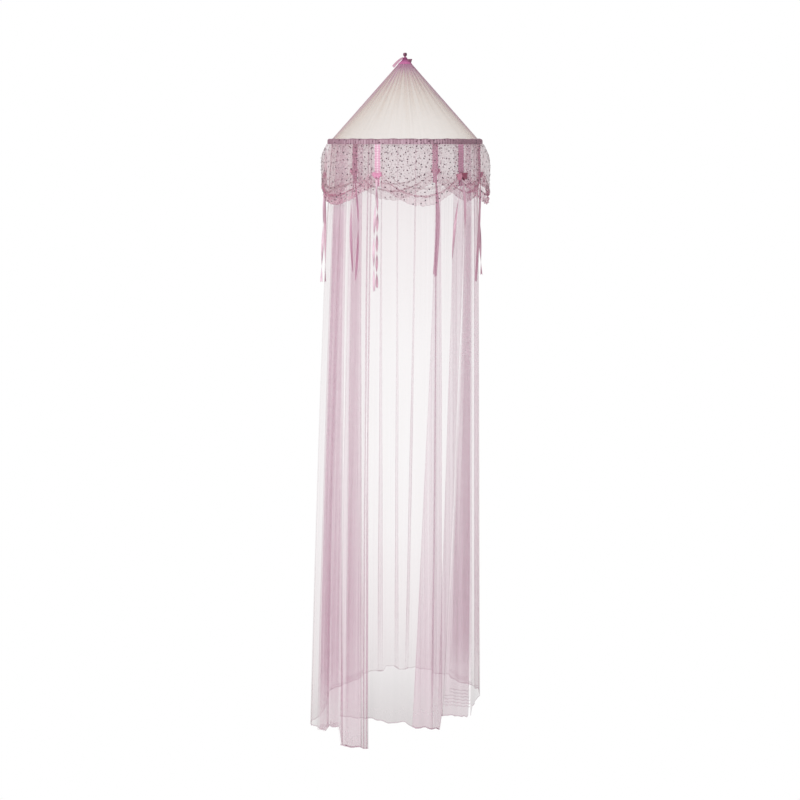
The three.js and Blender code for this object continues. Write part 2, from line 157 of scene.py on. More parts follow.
seamGap = 0.01 * mm  # edges that lie nearer are sewn into one


def finishPiece(bm, name, material, body, slot, replaces=(), closeSeam=False, wall=None):
    if closeSeam:
        bmesh.ops.remove_doubles(bm, verts=bm.verts, dist=seamGap)
    bmesh.ops.recalc_face_normals(bm, faces=bm.faces)
    mesh = bpy.data.meshes.new(name)
    bm.to_mesh(mesh)
    bm.free()
    for polygon in mesh.polygons:
        polygon.use_smooth = True
    mesh.materials.append(material)
    piece = bpy.data.objects.new(name, mesh)
    bpy.context.scene.collection.objects.link(piece)
    if wall:
        solidify = piece.modifiers.new("wall", "SOLIDIFY")
        solidify.thickness = wall
        solidify.offset = 0
    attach(piece, body)
    if replaces:
        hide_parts(*replaces)
    return piece


def makeSheet(name, columns, rows, place, flat, material, body, slot, **more):
    bm = bmesh.new()
    addGrid(bm, columns, rows, place, flat)
    return finishPiece(bm, name, material, body, slot, **more)


# A hem lies on a sheet's lower edge. outside is the sheet's own place, lifted off it.
def makeHem(name, columns, rows, outside, height, drop, width, cloth, slot):
    def place(u, v):
        return outside(u, between(1 - height / drop, 1, v))[0], *cloth

    return makeSheet(name, columns, rows, place, (width, height), finishes["hemNet"], "crown", slot)


# A ribbon follows a path; across(share) is the direction of its width
def ribbonPlace(path, across, width, edgeCurl=0.0):
    step = 0.002

    def place(u, v):
        ahead = path(min(v + step, 1))
        behind = path(max(v - step, 0))
        sideways = across(v).normalized()
        through = (ahead - behind).cross(sideways).normalized()
        side = u - 0.5
        spot = path(v) + sideways * (side * width(v)) + through * (edgeCurl * 4 * side * side)
        return spot, *plainCloth

    return place


# Materials
def linearColour(hexColour):
    shares = [int(hexColour[i:i + 2], 16) / 255 for i in (1, 3, 5)]
    return (*[s / 12.92 if s <= 0.04045 else ((s + 0.055) / 1.055) ** 2.4 for s in shares], 1.0)


# A link names a socket, or a node for its first output
def addNode(tree, kind, settings=None, links=None):
    node = tree.nodes.new("ShaderNode" + kind)
    for key, value in (settings or {}).items():
        if isinstance(key, int) or key in node.inputs:
            node.inputs[key].default_value = value
        else:
            setattr(node, key, value)
    for key, source in (links or {}).items():
        socket = source.outputs[0] if isinstance(source, bpy.types.Node) else source
        tree.links.new(socket, node.inputs[key])
    return node


def startMaterial(name):
    material = bpy.data.materials.new(name)
    material.use_nodes = True
    material.node_tree.nodes.clear()
    return material, material.node_tree


def endMaterial(tree, settings, links):
    shader = addNode(tree, "BsdfPrincipled", settings, links)
    addNode(tree, "OutputMaterial", {}, {"Surface": shader})


# The cloth's own coordinates, at one pattern to each of the two sizes
def clothCoordinates(tree, across, down):
    spot = addNode(tree, "TexCoord")
    return addNode(tree, "Mapping", {"Scale": (1 / across, 1 / down, 1)}, {"Vector": spot.outputs["UV"]})


netLook = {
    "wale": 6 * mm,  # knit wales are 1 mm apart, drawn coarser so that they show
    "waleLength": 900 * mm,
    "waleNoise": (0.25, 0.75),  # the noise seldom leaves these
    "shadeVeil": (1.0, 6.0),  # a veil of painted shade that starts to grey the colour, and that greys it fully
    "glitterPlies": (6, 16),  # plies at which glitter net starts to deepen, and has its deepest tone
    "matt": 0.75,
    "glint": 0.25,
}


# How much of the light a net stops: more where it lies in several plies or is seen on edge
def netCover(tree, threadShare, waleDepth, grazeLimit):
    plies = addNode(tree, "Attribute", {"attribute_name": "plies"})
    wales = addNode(tree, "TexNoise", {"Scale": 1.0, "Detail": 2.0, "Roughness": 0.6},
                    {"Vector": clothCoordinates(tree, netLook["wale"], netLook["waleLength"])})
    uneven = addNode(tree, "MapRange",
                     {"From Min": netLook["waleNoise"][0], "From Max": netLook["waleNoise"][1],
                      "To Min": 1 - waleDepth, "To Max": 1 + waleDepth}, {"Value": wales})
    thick = addNode(tree, "Math", {"operation": "MULTIPLY"}, {0: plies.outputs["Fac"], 1: uneven})
    facing = addNode(tree, "LayerWeight", {"Blend": 0.5})
    cosine = addNode(tree, "Math", {"operation": "SUBTRACT", 0: 1.0}, {1: facing.outputs["Facing"]})
    limited = addNode(tree, "Math", {"operation": "MAXIMUM", 1: grazeLimit}, {0: cosine})
    slanted = addNode(tree, "Math", {"operation": "DIVIDE"}, {0: thick, 1: limited})
    # the veil thickens the cover; on the curtain it is painted shade
    veil = addNode(tree, "Attribute", {"attribute_name": "veil"})
    passed = addNode(tree, "Math", {"operation": "ADD"}, {0: slanted, 1: veil.outputs["Fac"]})
    gaps = addNode(tree, "Math", {"operation": "POWER", 0: 1 - threadShare}, {1: passed})
    cover = addNode(tree, "Math", {"operation": "SUBTRACT", 0: 1.0}, {1: gaps})
    return cover, slanted


# Pale where one ply is seen, deeper in tone where the cloth is bunched or seen on edge
def netColour(tree, single, bunched, slanted, deepens, shadeHaze=None):
    bunch = addNode(tree, "MapRange", {"From Min": deepens[0], "From Max": deepens[1]}, {"Value": slanted})
    # the tone attribute deepens it too; on the right of the casing that is painted shade
    tone = addNode(tree, "Attribute", {"attribute_name": "tone"})
    deeper = addNode(tree, "Math", {"operation": "MAXIMUM"}, {0: bunch, 1: tone.outputs["Fac"]})
    colour = addNode(tree, "Mix", {"data_type": "RGBA", 6: linearColour(single), 7: linearColour(bunched)},
                     {0: deeper}).outputs[2]
    # painted shade: a grey colour mixed in where the veil is thick
    if shadeHaze:
        veil = addNode(tree, "Attribute", {"attribute_name": "veil"})
        shadeGrey = addNode(tree, "MapRange",
                       {"From Min": netLook["shadeVeil"][0], "From Max": netLook["shadeVeil"][1]},
                       {"Value": veil.outputs["Fac"]})
        share = addNode(tree, "Math", {"operation": "SUBTRACT", "use_clamp": True},
                        {0: shadeGrey, 1: tone.outputs["Fac"]})
        colour = addNode(tree, "Mix", {"data_type": "RGBA", 7: linearColour(shadeHaze)},
                         {0: share, 6: colour}).outputs[2]
    return colour


# Knitted polyester net: soft matt threads with open holes, so colour builds up ply by ply. Past the
# cosine grazeLimit a ply seen on edge gets no denser. deepens holds the plies at which the deeper tone
# starts and is full.
def sheerNet(name, single, bunched, threadShare, deepens, waleDepth, grazeLimit, shadeHaze=None):
    material, tree = startMaterial(name)
    cover, slanted = netCover(tree, threadShare, waleDepth, grazeLimit)
    colour = netColour(tree, single, bunched, slanted, deepens, shadeHaze)
    endMaterial(tree, {"Roughness": netLook["matt"], "Sheen Weight": 0.15, "Sheen Roughness": 0.5},
                {"Base Color": colour, "Alpha": cover})
    return material


glitterLook = {
    "valance": {
        "name": "knitted net with glitter print",
        "net": "#B9929B",
        "gathered": "#C2849A",
        "fleck": "#6B4656",
        "threadShare": 0.10,
        "waleDepth": 0.45,
        "grazeLimit": 0.6,
        "fleckPitch": 9 * mm,
        "fleckSize": 0.27,  # of the pitch
        "fleckCover": 0.5,
    },
    "casing": {
        "name": "knitted net with glitter, folded over",
        "net": "#E0BFCF",
        # also the colour of the painted shade on the right of the casing
        "gathered": "#9C7786",
        "fleck": "#6A4457",
        "threadShare": 0.16,
        "waleDepth": 0.3,
        "grazeLimit": 0.3,
        "fleckPitch": 15 * mm,
        "fleckSize": 0.29,
        "fleckCover": 0.9,
    },
}


# Net printed with glitter: small dark flecks that catch the light among sheer threads
def glitterNet(look):
    material, tree = startMaterial(look["name"])
    cover, slanted = netCover(tree, look["threadShare"], look["waleDepth"], look["grazeLimit"])
    cells = addNode(tree, "TexVoronoi", {"Scale": 1.0, "Randomness": 0.9},
                    {"Vector": clothCoordinates(tree, look["fleckPitch"], look["fleckPitch"])})
    fleck = addNode(tree, "Math", {"operation": "LESS_THAN", 1: look["fleckSize"]}, {0: cells})
    flecked = addNode(tree, "Math", {"operation": "MULTIPLY", 1: look["fleckCover"]}, {0: fleck})
    alpha = addNode(tree, "Math", {"operation": "MAXIMUM"}, {0: cover, 1: flecked})
    net = netColour(tree, look["net"], look["gathered"], slanted, netLook["glitterPlies"])
    colour = addNode(tree, "Mix", {"data_type": "RGBA", 7: linearColour(look["fleck"])}, {0: fleck, 6: net})
    rough = addNode(tree, "MapRange", {"To Min": netLook["matt"], "To Max": netLook["glint"]},
                    {"Value": fleck})
    endMaterial(tree, {}, {"Base Color": colour.outputs[2], "Alpha": alpha, "Roughness": rough})
    return material


satinLook = {
    "weft": 1.6 * mm,  # satin floats are finer, drawn coarser so that they show
    "wavesInOne": 10 / math.pi,  # waves that a Wave texture at scale 1 has in one unit
    # size of the creases whose painted shade mixes into the ribbon's colour
    "creaseShadeSize": 14 * mm,
    "bump": (0.25, 0.1 * mm),  # strength and depth
}


# Polyester satin ribbon: long floats give a silky gloss. Its colour mixes a lit face colour with a shade
# colour by a noise of creases: painted light and shade. Where the tone is deep it shows its other colour.
def satin(name, face, shade, gloss, other=None):
    material, tree = startMaterial(name)
    creaseShade = addNode(tree, "TexNoise", {"Scale": 1.0, "Detail": 3.0},
                      {"Vector": clothCoordinates(tree, satinLook["creaseShadeSize"], satinLook["creaseShadeSize"])})
    colour = addNode(tree, "Mix", {"data_type": "RGBA", 6: linearColour(shade), 7: linearColour(face)},
                     {0: creaseShade})
    if other:
        tone = addNode(tree, "Attribute", {"attribute_name": "tone"})
        colour = addNode(tree, "Mix", {"data_type": "RGBA", 7: linearColour(other)},
                         {0: tone.outputs["Fac"], 6: colour.outputs[2]})
    wave = satinLook["weft"] * satinLook["wavesInOne"]
    floats = addNode(tree, "TexWave", {"Scale": 1.0, "Distortion": 0.6, "bands_direction": "Y"},
                     {"Vector": clothCoordinates(tree, wave, wave)})
    strength, depth = satinLook["bump"]
    bump = addNode(tree, "Bump", {"Strength": strength, "Distance": depth},
                   {"Height": floats.outputs["Fac"]})
    endMaterial(tree, {"Roughness": gloss, "Sheen Weight": 0.3, "Sheen Roughness": 0.35},
                {"Base Color": colour.outputs[2], "Normal": bump})
    return material


# Smooth hard plastics: the drawn glass-fibre rod and the moulded sleeve with faint draw and flow marks,
# and the foil of the sequins, dark plum with a hard glint
def smoothPlastic(name, first, second, markSize, roughness, uneven=0.08, detail=4.0):
    material, tree = startMaterial(name)
    spot = addNode(tree, "TexCoord")
    marks = addNode(tree, "TexNoise", {"Scale": 1 / markSize, "Detail": detail},
                    {"Vector": spot.outputs["Object"]})
    colour = addNode(tree, "Mix",
                     {"data_type": "RGBA", 6: linearColour(first), 7: linearColour(second)}, {0: marks})
    rough = addNode(tree, "MapRange", {"To Min": roughness - uneven, "To Max": roughness + uneven},
                    {"Value": marks})
    endMaterial(tree, {}, {"Base Color": colour.outputs[2], "Roughness": rough})
    return material


finishes = {
    # the curtain's grey is painted shade, for the dim inside seen through the net
    "curtainNet": sheerNet("knitted net, pink", "#C29AA5", "#C383A3", threadShare=0.06, deepens=(2.5, 6),
                           waleDepth=0.25, grazeLimit=0.6, shadeHaze="#AC9C9F"),
    # the cone net's cream where one ply is seen is painted shade: the dim inside seen through the net
    "coneNet": sheerNet("knitted net, drawn tight", "#C3A891", "#B5859F", threadShare=0.134, deepens=(3, 9),
                        waleDepth=0.12, grazeLimit=0.16),
    "casingNet": glitterNet(glitterLook["casing"]),
    "apexNet": sheerNet("knitted net, bound tight", "#CE72A8", "#8A386B", threadShare=0.15,
                        deepens=(30, 90), waleDepth=0.25, grazeLimit=0.1),
    "hemNet": sheerNet("rolled net hem", "#BD8DA3", "#BD8DA3", threadShare=0.08, deepens=(1, 4),
                       waleDepth=0.22, grazeLimit=0.6),
    "glitterNet": glitterNet(glitterLook["valance"]),
    # one satin ribbon in copies that paint light and shade: lit copies on the front strap, on straps 4 to 6
    # and on bows 4 and 5, a shaded copy on straps 2 and 3, and lit and shaded copies on the tails
    "ribbon": satin("pink satin ribbon", "#DDB6C5", "#BF92A6", gloss=0.36),
    "litRibbon": satin("satin ribbon, painted light", "#F2DCE6", "#E0B4C9", gloss=0.36, other="#DC93B5"),
    "shadedRibbon": satin("satin ribbon, painted shade", "#D3A2B8", "#AC768F", gloss=0.38, other="#C585A2"),
    "litMauveRibbon": satin("satin ribbon, mauve, painted light", "#F2CCDF", "#DFB1C8", gloss=0.38, other="#DDA4C0"),
    "litBowRibbon": satin("bow satin ribbon, painted light", "#F6B4D0", "#E58BB5", gloss=0.36),
    "bowRibbon": satin("rose satin ribbon", "#E6A6C3", "#C86F9B", gloss=0.36),
    # its other colour is painted light on the bow's left loops
    "wineBow": satin("wine satin ribbon", "#B4506F", "#3F142A", gloss=0.38, other="#DD96AE"),
    "apexRibbon": satin("plum satin ribbon", "#8A4568", "#5E2A47", gloss=0.38),
    "sequin": smoothPlastic("polyester foil sequin", "#2A1A26", "#5E3850", markSize=30 * mm, roughness=0.3,
                            uneven=0, detail=2.0),
    "rod": smoothPlastic("drawn glass-fibre rod", "#E8E2D6", "#D8D0C0", markSize=20 * mm, roughness=0.4),
    "sleeve": smoothPlastic("moulded polypropylene sleeve", "#F2F0EC", "#E4E1DB", markSize=12 * mm,
                            roughness=0.45),
}
print("stage: the finishes are mixed")

# Hanging loop and its twisted neck
loop = {
    "eye": (9 * mm, 11 * mm),
    "ribbon": 10 * mm,
    "pinched": 5 * mm,  # width where the two ends meet at the foot
    "pinchShare": 0.2,  # of the loop at each end, where it narrows
    "footShare": 0.13,  # of the loop at each end, where it runs down to the foot
    "footApart": 1.2 * mm,
    "wall": 1.6 * mm,
    "turned": 48,  # degrees about the hook
    "mapLength": 40 * mm,
    "flatLength": 0.036,
    "neckWidth": 8.5 * mm,
    "neckWaist": 0.15,
    "neckTwist": 0.3,  # turns
}


def makeLoop():
    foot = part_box("hanging_loop")[0].z
    halfWide = (loop["eye"][0] + loop["wall"]) / 2
    halfTall = (loop["eye"][1] + loop["wall"]) / 2
    middle = -loop["eye"][1] / 2
    turned = math.radians(loop["turned"])

    def path(share):
        z = middle + halfTall * math.sin(-math.pi / 2 + fullTurn * share)
        toFoot = 1 - easeBetween(0, loop["footShare"], min(share, 1 - share))
        side = -1 if share < 0.5 else 1
        x = between(halfWide * -math.sin(fullTurn * share), side * loop["footApart"], toFoot)
        return Vector((x * math.cos(turned), x * math.sin(turned), between(z, foot, toFoot)))

    def width(share):
        narrowed = 1 - easeBetween(0, loop["pinchShare"], min(share, 1 - share))
        return between(loop["ribbon"], loop["pinched"], narrowed)

    place = ribbonPlace(path, lambda share: Vector((-math.sin(turned), math.cos(turned), 0)), width)
    piece = makeSheet("ribbon_hanging_loop", 6, 48, place, (loop["ribbon"], loop["mapLength"]),
                      finishes["apexRibbon"], "hanger", "deep_satin", replaces=["hanging_loop"],
                      wall=loop["wall"])


def makeNeck():
    low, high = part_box("loop_neck")

    def across(share):
        angle = fullTurn * loop["neckTwist"] * share
        return Vector((math.cos(angle), math.sin(angle), 0))

    def width(share):
        return loop["neckWidth"] * (1 - loop["neckWaist"] * math.sin(math.pi * share))

    place = ribbonPlace(lambda share: Vector((0, 0, between(high.z, low.z, share))), across, width)
    makeSheet("ribbon_neck", 4, 24, place, (loop["neckWidth"], high.z - low.z),
              finishes["bowRibbon"], "neck", "deep_satin", replaces=["loop_neck"], wall=loop["wall"])


makeLoop()
makeNeck()
print("stage: the loop hangs")

# Gathered top of the cone, bound with a ribbon
gather = {
    "pleats": 26,
    "pleatDepth": 1.1 * mm,
    "pleatColumns": 8,
    "rows": 24,
    "topRadius": 7 * mm,
    "bottomRadius": 27 * mm,
    "overCone": 1 * mm,
    "bulge": [0, 0.10, 0.26, 0.48, 0.76, 1],
    "bindShare": 0.36,  # where the ribbon binds it
    "bindSpread": 0.08,
    "bindWaist": 1.2 * mm,
    "plies": (30, 16),
    "deepTone": 0.9,
    "toneFades": (0.2, 0.9),
    "wall": 0.8 * mm,
    "mapWidth": 0.16,
    "flat": (0.13, 0.034),
}


def makeGather():
    def place(u, v):
        turn = u * fullTurn
        radius = between(gather["topRadius"], gather["bottomRadius"], smoothTable(gather["bulge"], v))
        pleat = math.sin(gather["pleats"] * turn + 0.8 * waver(3 * math.cos(turn)))
        radius += gather["pleatDepth"] * pleat * (0.35 + 0.65 * v)
        radius -= gather["bindWaist"] * math.exp(-((v - gather["bindShare"]) / gather["bindSpread"]) ** 2)
        height = between(gatherHigh.z, gatherLow.z - gather["overCone"], v)
        tone = gather["deepTone"] * (1 - easeBetween(*gather["toneFades"], v))
        return onCrown(turn, radius, height), between(*gather["plies"], v), 0.0, tone

    piece = makeSheet("bound_top", gather["pleats"] * gather["pleatColumns"], gather["rows"], place,
                      (gather["mapWidth"], gather["flat"][1]), finishes["apexNet"], "crown", "bound_net",
                      replaces=["apex_gather"], closeSeam=True, wall=gather["wall"])


apexTrim = {
    "bowLength": 17 * mm,
    "bowHeight": 16 * mm,
    "bowDepth": 7 * mm,
    "bowTuck": 6 * mm,  # into the pleats
    "bowForward": 6 * mm,
    "bowRaise": 3 * mm,
    "bowFall": 4 * mm,  # from its knot to its tip
    "bowMap": (9 * mm, 34 * mm),
    "wall": 0.7 * mm,
    "tailTop": (-7.5 * mm, -5 * mm),
    "tailForward": 3 * mm,  # at its end
    "tailWidth": 11 * mm,
    "tailSpring": 3 * mm,
    "tailTurned": 38,  # degrees
    "tailTwist": 0.1,
    "tailSlack": 1.05,
}


def makeApexTrim():
    low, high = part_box("apex_bow")
    start = Vector((low.x - apexTrim["bowTuck"], -apexTrim["bowForward"],
                    (low.z + high.z) / 2 + apexTrim["bowRaise"]))

    def loopPath(share):
        angle = fullTurn * share
        reach = (1 - math.cos(angle)) / 2
        return start + Vector((apexTrim["bowLength"] * reach, -apexTrim["bowDepth"] / 2 * math.sin(angle),
                               -apexTrim["bowFall"] * reach))

    def loopWidth(share):
        return apexTrim["bowHeight"] * (0.45 + 0.55 * (1 - math.cos(fullTurn * share)) / 2)

    place = ribbonPlace(loopPath, lambda share: Vector((0.3, 0, 1)), loopWidth)
    makeSheet("apex_ribbon_loop", 6, 40, place, apexTrim["bowMap"], finishes["apexRibbon"], "crown",
              "deep_satin", replaces=["apex_bow"], wall=apexTrim["wall"])

    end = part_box("apex_tail")[0]
    top = Vector((*apexTrim["tailTop"], gatherHigh.z))
    reach = top - Vector((end.x, -apexTrim["tailForward"], end.z))

    def tailPath(share):
        spring = apexTrim["tailSpring"] * math.sin(math.pi * share)
        return top - reach * share + Vector((0, 0, spring))

    def tailAcross(share):
        angle = math.radians(apexTrim["tailTurned"]) + fullTurn * apexTrim["tailTwist"] * share
        return Vector((-math.sin(angle) * 0.7, math.cos(angle), math.sin(angle) * 0.7))

    def tailWidth(share):
        return apexTrim["tailWidth"] * (0.6 + 0.4 * min(6 * share, 1))

    # it wears the ribbon's painted shade copy
    piece = makeSheet("apex_ribbon_tail", 6, 30, ribbonPlace(tailPath, tailAcross, tailWidth),
                      (apexTrim["tailWidth"], reach.length), finishes["shadedRibbon"], "crown", "satin",
                      replaces=["apex_tail"], wall=apexTrim["wall"])


makeGather()
makeApexTrim()
print("stage: the top is bound")

# Cone: net gathered at the top and flat at the hoop, so its pleats fade on the way down
cone = {
    "pleats": 34,
    "pleatDepth": 1.3 * mm,
    "crowding": 2.4,
    "fullness": 1.1,
    "flatFullness": 1.3,
    "mapWidth": 1.9,
    "grid": (928, 40),
    "topRadius": 26 * mm,
    "footInset": 7 * mm,  # inside the rod, where it is sewn into the casing
    "footDepth": 3 * mm,
    "streaks": (0.9, 0.85),  # plies between the creases, and how many more lie in one
    "deepTone": 0.8,
    "paleTone": 0.2,
    "boundPlies": 4,  # more at the very top
}


def makeCone():
    footRadius = hoopRadius - cone["footInset"]
    slant = math.hypot(footRadius - cone["topRadius"], coneHigh.z - coneLow.z)

    def place(u, v):
        turn = u * fullTurn
        crowd = waver(9 * math.cos(turn) + 4 * math.sin(turn), 1.3)
        phase = cone["pleats"] * turn + cone["crowding"] * crowd
        fade = (1 - v) ** 1.3 * (0.75 + 0.5 * waver(7 * math.sin(turn) + 3 * math.cos(turn), 2.0))
        fine = math.sin(phase) + 0.3 * math.sin(2 * cone["pleats"] * turn + crowd)
        radius = between(cone["topRadius"], footRadius, v)
        radius += cone["pleatDepth"] * fine * max(fade, 0)
        height = between(coneHigh.z, coneLow.z - cone["footDepth"], v)
        gathered = cone["fullness"] * footRadius / between(cone["topRadius"], footRadius, v)
        reach = 0.75 + 0.35 * waver(11 * math.sin(turn) + 5 * math.cos(2 * turn), 4.0)
        crease = (0.5 + 0.5 * math.sin(phase + 0.9)) ** 3
        streaks = cone["streaks"][0] + cone["streaks"][1] * crease * clamp(1.3 * (1 - v / reach))
        tone = cone["deepTone"] * (1 - easeBetween(0, 0.18, v))
        tone += cone["paleTone"] * (1 - easeBetween(0.1, 0.5, v))
        dense = max(gathered ** 0.72 * streaks, 0.6) + cone["boundPlies"] * (1 - easeBetween(0, 0.08, v))
        return onCrown(turn, radius, height), dense, 0.0, tone

    piece = makeSheet("net_cone", *cone["grid"], place, (cone["mapWidth"], slant), finishes["coneNet"],
                      "crown", "cone_net", replaces=["cone_net"], closeSeam=True)


# Casing: a folded band of net ruched over the hoop
casing = {
    "ruches": 150,
    "ruche": 1.1 * mm,
    "rucheColumns": 8,
    "rows": 16,
    "insets": (1 * mm, 0.5 * mm),  # inside the solid, at its side and its top
    "wallShare": 0.3,  # of the section, in each of its two walls
    "lift": 1.8 * mm,
    "plies": 11.0,
    "uneven": (0.12, 0.3),  # of the plies, ruche by ruche and round the hoop
    # the casing's tone deepens toward both sides, and painted shade deepens it more on the right, away from
    # the key light
    "sideTone": 0.5,
    "rightShade": 0.9,
    "flatLength": 2.1,
    "flatHeight": 0.054,
}


def makeCasing():
    outer = casingHigh.x - casing["insets"][0]
    inner = 2 * hoopRadius - outer
    top = casingHigh.z - casing["insets"][1]
    bottom = casingLow.z
    wall = casing["wallShare"]

    def section(v):
        # round the band from the foot of its inner wall, over the top, to the foot of its outer wall
        halfWide = (outer - inner) / 2
        angle = math.pi * clamp((v - wall) / (1 - 2 * wall))
        radius = hoopRadius - halfWide * math.cos(angle)
        height = top - halfWide + halfWide * math.sin(angle) ** 0.7
        if v < wall:
            height = between(bottom, top - halfWide, v / wall)
        if v > 1 - wall:
            height = between(top - halfWide, bottom, (v - (1 - wall)) / wall)
        return radius, height

    def place(u, v):
        turn = u * fullTurn
        radius, height = section(v)
        ruche = math.sin(casing["ruches"] * turn + 1.5 * waver(8 * math.sin(turn)))
        away = -1 if v < 0.5 else 1
        radius += away * casing["ruche"] * ruche
        height += casing["lift"] * waver(14 * turn, 1.1) * math.sin(math.pi * v)
        byRuche, around = casing["uneven"]
        dense = casing["plies"] * (1 + byRuche * ruche + around * waver(31 * turn, 3.0))
        # deeper tone at the sides, and painted shade on the right
        sideways = math.sin(turn)
        tone = clamp(casing["sideTone"] * abs(sideways) + casing["rightShade"] * max(sideways, 0))
        return onCrown(turn, radius, height), dense, 0.0, tone

    piece = makeSheet("ruched_casing", casing["ruches"] * casing["rucheColumns"], casing["rows"], place,
                      (casing["flatLength"], casing["flatHeight"]), finishes["casingNet"], "crown",
                      "casing_net", replaces=["hoop_casing"], closeSeam=True)


makeCone()
makeCasing()
for node, finish in (("hoop_rod_right", "rod"), ("hoop_rod_left", "rod"),
                     ("hoop_sleeve_front", "sleeve"), ("hoop_sleeve_back", "sleeve"),
                     ("loop_knot", "apexRibbon")):
    frame["nodes"][node].data.materials.clear()
    frame["nodes"][node].data.materials.append(finishes[finish])
print("stage: the cone and its hoop are dressed")

# Valance: each swag billows out and its fullness lies in folds that run from gather to gather
valance = {
    "strapGap": 4 * mm,  # from the casing to the middle of the straps
    "gatherDrop": 174 * mm,  # below the rod's centre
    "scallopDrop": 247 * mm,
    "billows": [40 * mm, 29 * mm, 36 * mm, 38 * mm, 38 * mm, 40 * mm],
    "fall": [0, 0.10, 0.22, 0.36, 0.50, 0.60, 0.68, 0.73, 0.695, 0.745, 0.81, 0.852, 0.825, 0.872, 0.94, 1],
    "stand": [0.03, 0.42, 0.80, 0.98, 1.0, 0.93, 0.93, 1.0, 0.90, 0.80, 0.84, 0.90, 0.82, 0.76, 0.74, 0.70],
    "roundness": 1.25,
    "fullness": 0.5,
    # plies at even steps along each swag, and how much denser its lower third is
    "plies": [[0.7, 0.7, 0.7], [0.7, 0.9, 1.4, 3.0], [2.6, 1.1, 0.7], [0.7, 0.7], [0.8, 0.8, 0.5, 0.4, 0.4],
              [0.4, 0.4, 1.1, 4.2, 3.0, 2.5, 2.3, 1.7, 1.2]],
    "lowPlies": [1.1, 3.2, 2.2, 1.3, 1.5, 2.5],
    "lowFrom": (0.5, 0.78),
    "seamPlies": 1.2,
    "strapPlies": 0.5,
    "veil": 0.6,
    "countSpan": 0.3,  # metres of arc, in which the ruches and ruffles are counted
    "topRuches": 9,
    "topRuche": 2.2 * mm,
    "sideFold": 3.0 * mm,
    "hemRuffle": 2.6 * mm,
    "wrinkle": 2.6 * mm,
    "wrinkles": 8.5,
    "hemRuffles": 19,
    "hemHeight": 3 * mm,
    "crumple": (0.8 * mm, 6 * mm),  # at the casing and at the hem
    "crumplePitch": 15 * mm,
    "besideStrap": 0.3 * mm,
    "grid": (110, 96),
    "mapDrop": 0.30,
    "flatDrop": 0.25,
    "hemLift": 0.4 * mm,
}
strapRadius = casingHigh.x + valance["strapGap"]


def swagPlace(index, lift=0.0):
    start = strapTurns[index]
    end = strapTurns[index + 1] if index < 5 else strapTurns[0] + fullTurn
    startEdge, endEdge = ((strap["widths"][k % 6] / 2 + valance["besideStrap"]) / strapRadius
                          for k in (index, index + 1))
    seed = 1.7 * index

    def place(u, v):
        rim = max(math.sin(math.pi * u), 0)
        drop = between(valance["gatherDrop"], valance["scallopDrop"], rim ** valance["roundness"])
        loose = easeBetween(0, 0.7, rim)
        fall = between(v, smoothTable(valance["fall"], v), loose)
        stand = smoothTable(valance["stand"], v)
        billow = valance["billows"][index] * rim ** valance["fullness"] * stand
        span = (end - start) * strapRadius
        ruches = u * valance["topRuches"] * span / valance["countSpan"]
        gatherFold = math.sin(fullTurn * (ruches + 0.3 * waver(9 * u, seed)))
        billow += valance["topRuche"] * gatherFold * (1 - v) ** 2 * easeBetween(0, 0.15, v)
        sideFold = math.sin(fullTurn * (3.2 * v + 2.2 * u) + seed)
        billow += valance["sideFold"] * sideFold * rim * (1 - rim) * 2.2 * v
        wrinkle = math.sin(fullTurn * valance["wrinkles"] * v + 1.4 * waver(6 * u, seed + 2))
        billow += valance["wrinkle"] * wrinkle * rim ** 0.5 * easeBetween(0.4, 0.75, v)
        spot = Vector((u * span, v * valance["mapDrop"], seed)) / valance["crumplePitch"]
        crumpled = between(*valance["crumple"], easeBetween(0.35, 0.8, v)) * min(6 * rim, 1)
        billow += crumpled * noise.noise(spot)
        ruffles = fullTurn * valance["hemRuffles"] * u * span / valance["countSpan"]
        ruffle = math.sin(ruffles + 2 * waver(11 * u, seed))
        billow += valance["hemRuffle"] * ruffle * v ** 7 * rim
        bottom = hoopHeight - drop + 2.5 * mm * waver(9 * u, seed) * v ** 4 * rim
        height = between(valanceTop, bottom, fall) + crumpled * noise.noise(spot + Vector((7, 7, 0)))
        turn = between(start + startEdge, end - endEdge, u) + 0.006 * ruffle * v ** 7
        plies = smoothTable(valance["plies"][index], u)
        plies += valance["seamPlies"] * (1 - easeBetween(0, 0.04, v))
        plies += valance["strapPlies"] * (1 - easeBetween(0, 0.45, rim)) * (u > 0.5 or index < 5)
        low = easeBetween(*valance["lowFrom"], v)
        plies += valance["lowPlies"][index] * low * (1 + 0.8 * noise.noise(spot * 1.7))
        return onCrown(turn, strapRadius + billow + lift, height), plies, valance["veil"], low

    return place, (end - start) * (strapRadius + valance["billows"][index])


def makeSwag(index):
    place, span = swagPlace(index)
    piece = makeSheet(f"glitter_swag_{index + 1}", *valance["grid"], place, (span, valance["mapDrop"]),
                      finishes["glitterNet"], "crown", "glitter_net", replaces=[f"valance_swag_{index + 1}"])
    outside, _ = swagPlace(index, valance["hemLift"])
    hem = makeHem(f"swag_hem_{index + 1}", valance["grid"][0], 2, outside, valance["hemHeight"],
                  valance["flatDrop"], span, plainCloth, "glitter_net")


sequins = {
    "radius": 2.7 * mm,
    "tilt": 0.12,
    "pitch": 20 * mm,
    "tries": 1200,
    "margin": 0.02,
    "hemMargin": 0.03,
    "standOff": 0.8 * mm,
    "cup": 1.1 * mm,
    "rim": 0.8,  # of the radius, on the outer face
    "seed": 11,
}


